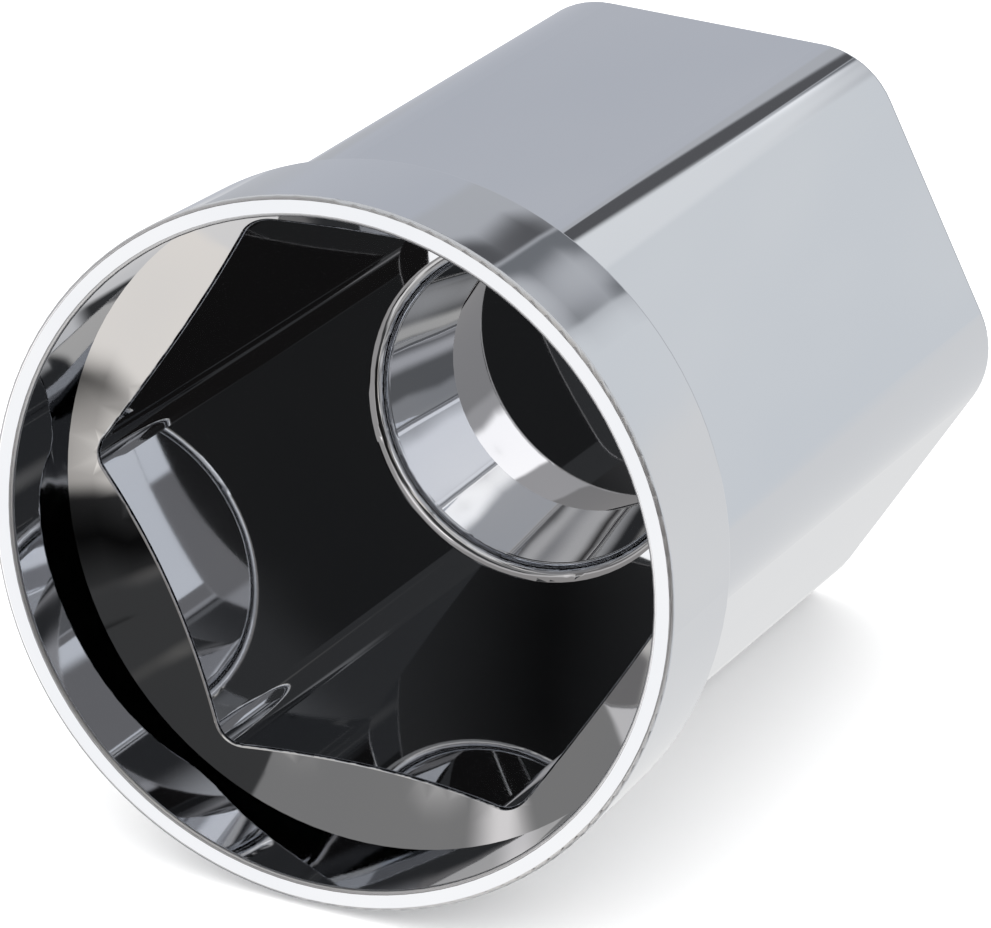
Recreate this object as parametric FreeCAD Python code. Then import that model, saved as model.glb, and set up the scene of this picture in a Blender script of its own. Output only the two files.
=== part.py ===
import FreeCAD, Part
import math
import os

# Push-on cover cap for a 33 mm wheel nut, moulded in one piece.
# It lies on its side as it comes to rest: one flat of the hexagon is down, and
# the cap touches the ground along that flat's far edge and on the collar's rear
# edge. +Z is up, the mouth faces -Y, and the origin is on the ground below the
# middle of the cap. Millimetres.

# outside
height = 55.8          # closed end to lip
hex_af = 37.0          # across the flats of the hexagonal body
hex_corner_r = 5.7     # rounded long edges of the body
end_edge_r = 0.65      # rounded edge around the closed end
collar_h = 9.5         # round collar at the mouth
collar_r_lip = 21.9    # collar radius at the lip
collar_r_rear = 21.6   # collar radius at its rear edge, slight draft
collar_edge_r = 0.35   # rounded rear edge of the collar
root_r = 0.4           # fillet where the body runs into the collar

# inside
lip_edge_r = 0.25      # rounded edges on both sides of the flat lip
bore_r = 20.6          # round bore inside the collar, which leaves a lip 1.3 wide
funnel_depth = 7.1     # lip to the start of the funnel at the bore wall
funnel_angle = 33.0    # degrees between the funnel's wall and the plane of the lip
socket_af = 33.5       # hexagonal nut socket, clear of a 33 mm nut
socket_corner_r = 2.1  # rounded corners of the socket
socket_depth = 29.5    # lip to the floor of the socket
entry_r = 0.3          # rounded edge between funnel and socket
stud_r = 10.15         # tapered pocket for the tip of the stud, just below its rim
stud_taper = 10.0      # degrees that the pocket's wall leans in towards its bottom
stud_depth = 37.3      # lip to the flat bottom of the pocket
stud_rim_r = 1.0       # rounded rim of the pocket
first_corner = 0.0     # direction of one body corner about the axis


def hexagon(af, corner_r, z):
    """Closed wire: regular hexagon with rounded corners at height z."""
    c = (af / 2.0 - corner_r) / math.cos(math.pi / 6.0)
    edges = []
    for k in range(6):
        a = math.radians(first_corner + 60.0 * k)
        b = math.radians(first_corner + 60.0 * (k + 1))
        ca = (c * math.cos(a), c * math.sin(a))
        cb = (c * math.cos(b), c * math.sin(b))

        def on(cc, ang):
            return FreeCAD.Vector(cc[0] + corner_r * math.cos(ang), cc[1] + corner_r * math.sin(ang), z)

        s = math.pi / 6.0
        edges.append(Part.Arc(on(ca, a - s), on(ca, a), on(ca, a + s)).toShape())
        edges.append(Part.makeLine(on(ca, a + s), on(cb, b - s)))
    return Part.Wire(edges)


def prism(af, corner_r, z0, z1):
    return Part.Face(hexagon(af, corner_r, z0)).extrude(FreeCAD.Vector(0, 0, z1 - z0))


def revolve(points):
    """Solid of revolution about Z from an (r, z) outline, with ('arc', mid, end) for arcs."""
    edges = []
    cur = points[0]
    for p in points[1:] + [points[0]]:
        if p[0] == "arc":
            a, m, b = (FreeCAD.Vector(q[0], 0, q[1]) for q in (cur, p[1], p[2]))
            edges.append(Part.Arc(a, m, b).toShape())
            cur = p[2]
        elif math.hypot(p[0] - cur[0], p[1] - cur[1]) > 1e-9:
            edges.append(Part.makeLine(FreeCAD.Vector(cur[0], 0, cur[1]), FreeCAD.Vector(p[0], 0, p[1])))
            cur = p
    return Part.Face(Part.Wire(edges)).revolve(FreeCAD.Vector(0, 0, 0), FreeCAD.Vector(0, 0, 1), 360)


def edges_at(shape, test):
    return [e for e in shape.Edges if test(e)]


# hexagonal body with its closed end rounded
body = prism(hex_af, hex_corner_r, 0.0, height - collar_h + 1.0)
body = body.makeFillet(end_edge_r, edges_at(body, lambda e: e.BoundBox.ZMax < 1e-6))

# round collar with a flat lip
z_rear = height - collar_h
lip_r = lip_edge_r
d = collar_edge_r
k = math.sqrt(0.5)
collar = revolve([
    (0.0, z_rear),
    (collar_r_rear - d, z_rear),
    ("arc", (collar_r_rear - d + d * k, z_rear + d - d * k), (collar_r_rear, z_rear + d)),
    (collar_r_lip, height - lip_r),
    ("arc", (collar_r_lip - lip_r + lip_r * k, height - lip_r + lip_r * k), (collar_r_lip - lip_r, height)),
    (0.0, height),
])
outer = body.fuse(collar).removeSplitter()
root = edges_at(outer, lambda e: abs(e.BoundBox.ZMin - z_rear) < 1e-4 and abs(e.BoundBox.ZMax - z_rear) < 1e-4
                and e.BoundBox.XMax < collar_r_rear - 1.0 and e.BoundBox.YMax < collar_r_rear - 1.0
                and e.BoundBox.XMin > 1.0 - collar_r_rear and e.BoundBox.YMin > 1.0 - collar_r_rear)
outer = outer.makeFillet(root_r, root)

# what is open inside: bore, funnel, nut socket and stud pocket
z_funnel = height - funnel_depth
z_floor = height - socket_depth
z_stud = height - stud_depth
funnel_foot_r = socket_af / 2.0 - 1.0
z_foot = z_funnel - (bore_r - funnel_foot_r) * math.tan(math.radians(funnel_angle))
bore = revolve([
    (0.0, z_foot),
    (funnel_foot_r, z_foot),
    (bore_r, z_funnel),
    (bore_r, height - lip_r),
    ("arc", (bore_r + lip_r - lip_r * k, height - lip_r + lip_r * k), (bore_r + lip_r, height)),
    (bore_r + lip_r, height + 5.0),
    (0.0, height + 5.0),
])
socket = prism(socket_af, socket_corner_r, z_floor, height - 1.0)
r = stud_rim_r
stud_foot_r = stud_r - (z_floor - r - z_stud) * math.tan(math.radians(stud_taper))
pocket = revolve([
    (0.0, z_stud),
    (stud_foot_r, z_stud),
    (stud_r, z_floor - r),
    ("arc", (stud_r + r - r * k, z_floor - r + r * k), (stud_r + r, z_floor)),
    (stud_r + r, z_floor + 1.0),
    (0.0, z_floor + 1.0),
])

cap = outer.cut(bore)
cap = cap.cut(socket)
entry = edges_at(cap, lambda e: e.BoundBox.ZMin > z_foot - 0.2 and e.BoundBox.ZMax < z_funnel - 1e-3
                 and e.BoundBox.DiagonalLength < 25.0
                 and math.hypot(e.CenterOfMass.x, e.CenterOfMass.y) < bore_r - 0.5)
cap = cap.makeFillet(entry_r, entry)
cap = cap.cut(pocket)

# lay it down: the line that touches the closed end's rounded edge and the
# collar's rounded rear edge becomes the ground
a = (collar_r_rear - collar_edge_r) - (hex_af / 2.0 - end_edge_r)
b = (z_rear + collar_edge_r) - end_edge_r
lean = math.acos((end_edge_r - collar_edge_r) / math.hypot(a, b)) - math.atan2(b, a)
ce, se = math.cos(lean), math.sin(lean)
drop = (hex_af / 2.0 - end_edge_r) * ce - end_edge_r * se + end_edge_r
y_front = -(collar_r_lip - lip_r) * se - (height - lip_r) * ce - lip_r
y_back = (hex_af / 2.0 - end_edge_r) * se - end_edge_r * ce + end_edge_r
cap.rotate(FreeCAD.Vector(0, 0, 0), FreeCAD.Vector(1, 0, 0), 90.0 - math.degrees(lean))
cap.translate(FreeCAD.Vector(0, -(y_front + y_back) / 2.0, drop))

os.makedirs("parts", exist_ok=True)
if len(cap.Solids) == 1:
    cap = cap.Solids[0]
cap.exportStep("parts/cap_body.step")
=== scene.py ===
import math
import bpy
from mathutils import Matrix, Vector

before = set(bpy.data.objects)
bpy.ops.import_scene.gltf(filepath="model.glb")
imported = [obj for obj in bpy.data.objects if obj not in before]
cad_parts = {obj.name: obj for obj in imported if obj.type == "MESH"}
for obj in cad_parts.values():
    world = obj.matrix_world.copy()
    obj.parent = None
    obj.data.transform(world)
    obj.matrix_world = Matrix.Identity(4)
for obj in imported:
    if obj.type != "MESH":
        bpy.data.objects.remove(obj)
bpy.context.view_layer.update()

# the cap's axis, out of the mouth, and how far along it the flat lip lies
MOUTH_AXIS = (0.0, -0.997738, 0.067224)
LIP_PLANE = 0.029137


# ---------------------------------------------------------------- materials
def principled(name):
    mat = bpy.data.materials.new(name)
    mat.use_nodes = True
    nt = mat.node_tree
    return mat, nt, nt.nodes["Principled BSDF"]


def chrome_material():
    """Bright chrome over moulded plastic: mirror finish with drawn-out moulding streaks,
    a faint long ripple of the wall and a little haze."""
    mat, nt, bsdf = principled("chrome_plating")
    bsdf.inputs["Metallic"].default_value = 1.0
    coord = nt.nodes.new("ShaderNodeTexCoord")

    def noise(scale, detail, stretch=None):
        node = nt.nodes.new("ShaderNodeTexNoise")
        node.inputs["Scale"].default_value = scale
        node.inputs["Detail"].default_value = detail
        source = coord.outputs["Object"]
        if stretch:
            mapping = nt.nodes.new("ShaderNodeMapping")
            mapping.inputs["Scale"].default_value = stretch
            nt.links.new(source, mapping.inputs["Vector"])
            source = mapping.outputs["Vector"]
        nt.links.new(source, node.inputs["Vector"])
        return node

    # tone: slow cool and neutral clouds, drawn out along the axis
    tone = noise(70.0, 2.0, (1.0, 0.35, 1.0))
    ramp = nt.nodes.new("ShaderNodeValToRGB")
    ramp.color_ramp.elements[0].position = 0.36
    ramp.color_ramp.elements[0].color = (0.672, 0.690, 0.722, 1)
    ramp.color_ramp.elements[1].position = 0.64
    ramp.color_ramp.elements[1].color = (0.705, 0.718, 0.742, 1)
    nt.links.new(tone.outputs["Fac"], ramp.inputs["Fac"])
    nt.links.new(ramp.outputs["Color"], bsdf.inputs["Base Color"])

    # haze of the plating
    haze = noise(260.0, 3.0, (1.0, 0.12, 1.0))
    rough = nt.nodes.new("ShaderNodeMapRange")
    rough.inputs["To Min"].default_value = 0.012
    rough.inputs["To Max"].default_value = 0.038
    nt.links.new(haze.outputs["Fac"], rough.inputs["Value"])

    # the plating is duller on the small rounded edges of the lip
    def along_axis(socket, low, high):
        dot = nt.nodes.new("ShaderNodeVectorMath")
        dot.operation = "DOT_PRODUCT"
        dot.inputs[1].default_value = MOUTH_AXIS
        nt.links.new(socket, dot.inputs[0])
        step = nt.nodes.new("ShaderNodeMapRange")
        step.inputs["From Min"].default_value = low
        step.inputs["From Max"].default_value = high
        nt.links.new(dot.outputs["Value"], step.inputs["Value"])
        return step

    at_lip = along_axis(coord.outputs["Object"], LIP_PLANE - 0.00034, LIP_PLANE - 0.00022)
    turned = along_axis(coord.outputs["Normal"], 0.97, 0.999)
    turned.inputs["To Min"].default_value = 0.32
    turned.inputs["To Max"].default_value = 0.0
    worn = nt.nodes.new("ShaderNodeMath")
    worn.operation = "MULTIPLY_ADD"
    nt.links.new(at_lip.outputs["Result"], worn.inputs[0])
    nt.links.new(turned.outputs["Result"], worn.inputs[1])
    nt.links.new(rough.outputs["Result"], worn.inputs[2])
    nt.links.new(worn.outputs[0], bsdf.inputs["Roughness"])

    # ripple of the moulded wall under the plating
    ripple = noise(95.0, 1.0, (1.0, 0.25, 1.0))
    bump = nt.nodes.new("ShaderNodeBump")
    bump.inputs["Strength"].default_value = 0.12
    bump.inputs["Distance"].default_value = 0.00006
    nt.links.new(ripple.outputs["Fac"], bump.inputs["Height"])
    nt.links.new(bump.outputs["Normal"], bsdf.inputs["Normal"])
    return mat


def plain(name, colour, rough=0.6):
    mat, nt, bsdf = principled(name)
    bsdf.inputs["Base Color"].default_value = (*colour, 1)
    bsdf.inputs["Roughness"].default_value = rough
    return mat


chrome = chrome_material()
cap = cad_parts["cap_body"]
cap.data.materials.clear()
cap.data.materials.append(chrome)


# ---------------------------------------------------------------- floor
def quad(name, centre, normal, width, height, mat, up=(0, 0, 1)):
    n = Vector(normal).normalized()
    x = Vector(up).cross(n)
    if x.length < 1e-6:
        x = Vector((1, 0, 0))
    x.normalize()
    y = n.cross(x)
    c = Vector(centre)
    pts = [c + x * sx * width / 2 + y * sy * height / 2 for sx, sy in ((-1, -1), (1, -1), (1, 1), (-1, 1))]
    mesh = bpy.data.meshes.new(name)
    mesh.from_pydata([tuple(p) for p in pts], [], [(0, 1, 2, 3)])
    mesh.materials.append(mat)
    obj = bpy.data.objects.new(name, mesh)
    bpy.context.scene.collection.objects.link(obj)
    return obj


floor = quad("floor", (0, 0, 0), (0, 0, 1), 6, 6, plain("floor_white", (0.93, 0.93, 0.93), 0.8))
floor.visible_glossy = False

# ---------------------------------------------------------------- studio
# Softboxes, panels and dark flags around the cap. Each row is the heading in degrees
# (0 in front of the mouth, positive towards +X), the height in degrees, the half width,
# the half height, the soft edge, the slant, the brightness and the tint.
FRONT = 0.05
BACK = 0.84
NEUTRAL = (1.0, 1.0, 1.0)
CARDS = [
    # in front of the mouth
    (0.5, -56, 54, 27.5, 6, -0.16, 0.88, (1.0, 0.97, 0.94)),
    (-64.5, 0, 37, 31.5, 5, 0, 0.66, (1.0, 0.97, 0.96)),
    (-16.5, 3.5, 36.5, 19.5, 5, 0, 0.56, (1.0, 0.96, 0.94)),
    (-33, 33.5, 41.5, 10, 1, 0.53, 0.24, (1.0, 0.98, 0.96)),
    (31, -40.5, 18.5, 16, 5, 1.93, 0.98, (1.0, 0.94, 0.87)),
    (65.5, 62, 37, 16, 6, 0.57, 0.92, (1.0, 0.94, 0.85)),
    (-56, 48, 47.5, 19.5, 2, 0.58, 0.56, (1.0, 0.97, 0.94)),
    (-43.5, -16, 9, 12, 5, -0.5, 1.78, (1.0, 0.97, 0.94)),
    (-5.5, -11, 19, 13.5, 2.5, 0, 0.38, (1.0, 0.96, 0.94)),
    (70.5, -38.5, 29, 11.5, 5, 0, 0.82, (1.0, 0.98, 0.96)),
    (3, 13, 7, 2.5, 1.5, -0.7, 1.84, (1.0, 0.96, 0.93)),
    (-76, -33, 27.5, 11, 0.5, 0.2, 0.68, (1.0, 0.98, 0.96)),
    (-60, -51.5, 36.5, 13, 1.5, 0, 0.26, (1.0, 0.97, 0.96)),
    (-23.5, -2.5, 12, 15.5, 1, -0.19, 0.34, (1.0, 0.95, 0.92)),
    (22, -42.5, 11.5, 1, 2, 0.43, 2.58, (1.0, 0.95, 0.88)),
    (-7.5, 65, 62, 21, 5, -0.12, 0.66, (1.0, 0.96, 0.91)),
    (-23, 25.5, 1, 2.5, 3.5, 0, 0.0, NEUTRAL),
    (62, -12, 17, 16, 6, 0.27, 0.36, (1.0, 0.96, 0.94)),
    (-3.5, -28, 3.5, 3, 0.5, 0, 0.02, NEUTRAL),
    (37, -10.5, 1.5, 23.5, 4.5, 2.0, 0.0, NEUTRAL),
    (57.5, 33.5, 22, 25.5, 3, 0, 0.28, (1.0, 0.94, 0.89)),
    (-69, 27, 37, 3.5, 6, -0.17, 0.88, (1.0, 0.96, 0.94)),
    (24, 12, 8, 2.5, 0.5, 0, 0.02, NEUTRAL),
    (25, -6, 8, 15, 1.5, 0, 0.012, (1.0, 0.92, 0.88)),
    # the panel that the flat lip mirrors
    (-23.8, -18.2, 4.4, 4.2, 1.5, 0, 1.3, (1.0, 0.99, 0.98)),
    # behind the cap
    (-172, 12.5, 25.5, 25, 0.5, 0, 0.56, (0.93, 0.95, 1.0)),
    (-173, 28.5, 6, 7, 1, 0, 0.12, (0.93, 0.94, 1.0)),
    (174, 24, 5, 1.5, 1.5, 0, 1.4, (0.97, 0.98, 1.0)),
    (173.5, 19, 7, 1.5, 1, 0.37, 0.22, (0.89, 0.93, 1.0)),
    (138.5, 6, 28.5, 26.5, 5.5, 1.37, 0.84, (0.94, 0.97, 1.0)),
    (159.5, 20.5, 36, 3.5, 2, 0.32, 0.91, (0.96, 0.98, 1.0)),
    (-157.5, 10.5, 7, 26, 2, -0.67, 0.62, (0.89, 0.92, 1.0)),
]

world = bpy.data.worlds.new("studio")
bpy.context.scene.world = world
world.cycles.sampling_method = "NONE"   # the plain light is the same from everywhere
world.use_nodes = True
wt = world.node_tree
wt.nodes.clear()


def put(socket, value):
    if isinstance(value, bpy.types.NodeSocket):
        wt.links.new(value, socket)
    else:
        socket.default_value = value


def calc(op, a, b=None, c=None):
    node = wt.nodes.new("ShaderNodeMath")
    node.operation = op
    for i, value in enumerate((a, b, c)):
        if value is not None:
            put(node.inputs[i], value)
    return node.outputs[0]


def edge(distance, half, soft):
    """1 inside the card's half size, 0 outside it, with a soft edge."""
    node = wt.nodes.new("ShaderNodeMapRange")
    node.interpolation_type = "SMOOTHSTEP"
    put(node.inputs["Value"], distance)
    put(node.inputs["From Min"], half - soft / 2)
    put(node.inputs["From Max"], half + soft / 2)
    put(node.inputs["To Min"], 1.0)
    put(node.inputs["To Max"], 0.0)
    return node.outputs["Result"]


def blend(mask, below, above):
    node = wt.nodes.new("ShaderNodeMix")
    node.data_type = "RGBA"
    put(node.inputs["Factor"], mask)
    put(node.inputs[6], below)
    put(node.inputs[7], above)
    return node.outputs[2]


def grey(level, tint=NEUTRAL):
    return (level * tint[0], level * tint[1], level * tint[2], 1.0)


direction = wt.nodes.new("ShaderNodeTexCoord").outputs["Generated"]
split = wt.nodes.new("ShaderNodeSeparateXYZ")
put(split.inputs[0], direction)
heading = calc("MULTIPLY", calc("ARCTAN2", split.outputs[0], calc("MULTIPLY", split.outputs[1], -1.0)), 180 / math.pi)
rise = calc("MULTIPLY", calc("ARCSINE", split.outputs[2]), 180 / math.pi)

sky = blend(calc("GREATER_THAN", calc("ABSOLUTE", heading), 95.0), grey(FRONT), grey(BACK))
for az, el, half_w, half_h, soft, slant, level, tint in CARDS:
    across = calc("WRAP", calc("SUBTRACT", heading, float(az)), 180.0, -180.0)
    up = calc("SUBTRACT", rise, float(el))
    if slant:
        shift = calc("MULTIPLY", calc("MINIMUM", calc("MAXIMUM", across, -60.0), 60.0), float(slant))
        up = calc("SUBTRACT", up, shift)
    mask = calc("MULTIPLY", edge(calc("ABSOLUTE", across), half_w, soft), edge(calc("ABSOLUTE", up), half_h, soft))
    sky = blend(mask, sky, grey(level, tint))

path = wt.nodes.new("ShaderNodeLightPath")
room = wt.nodes.new("ShaderNodeMixShader")
plain_light = wt.nodes.new("ShaderNodeBackground")
put(plain_light.inputs["Color"], grey(1.95))
mirrored = wt.nodes.new("ShaderNodeBackground")
put(mirrored.inputs["Color"], sky)
put(room.inputs[0], path.outputs["Is Glossy Ray"])
wt.links.new(plain_light.outputs[0], room.inputs[1])
wt.links.new(mirrored.outputs[0], room.inputs[2])
output = wt.nodes.new("ShaderNodeOutputWorld")
wt.links.new(room.outputs[0], output.inputs["Surface"])

# ---------------------------------------------------------------- camera
cam_data = bpy.data.cameras.new("camera")
cam_data.sensor_width = 36.0
cam_data.lens = 253.91
cam_data.clip_start = 0.01
cam_data.clip_end = 20
cam = bpy.data.objects.new("camera", cam_data)
cam.location = (0.155744, -0.361205, 0.194452)
cam.rotation_euler = (math.radians(65.726), math.radians(-2.1402), math.radians(24.5))
bpy.context.scene.collection.objects.link(cam)
bpy.context.scene.camera = cam

bpy.context.scene.view_settings.view_transform = "Standard"
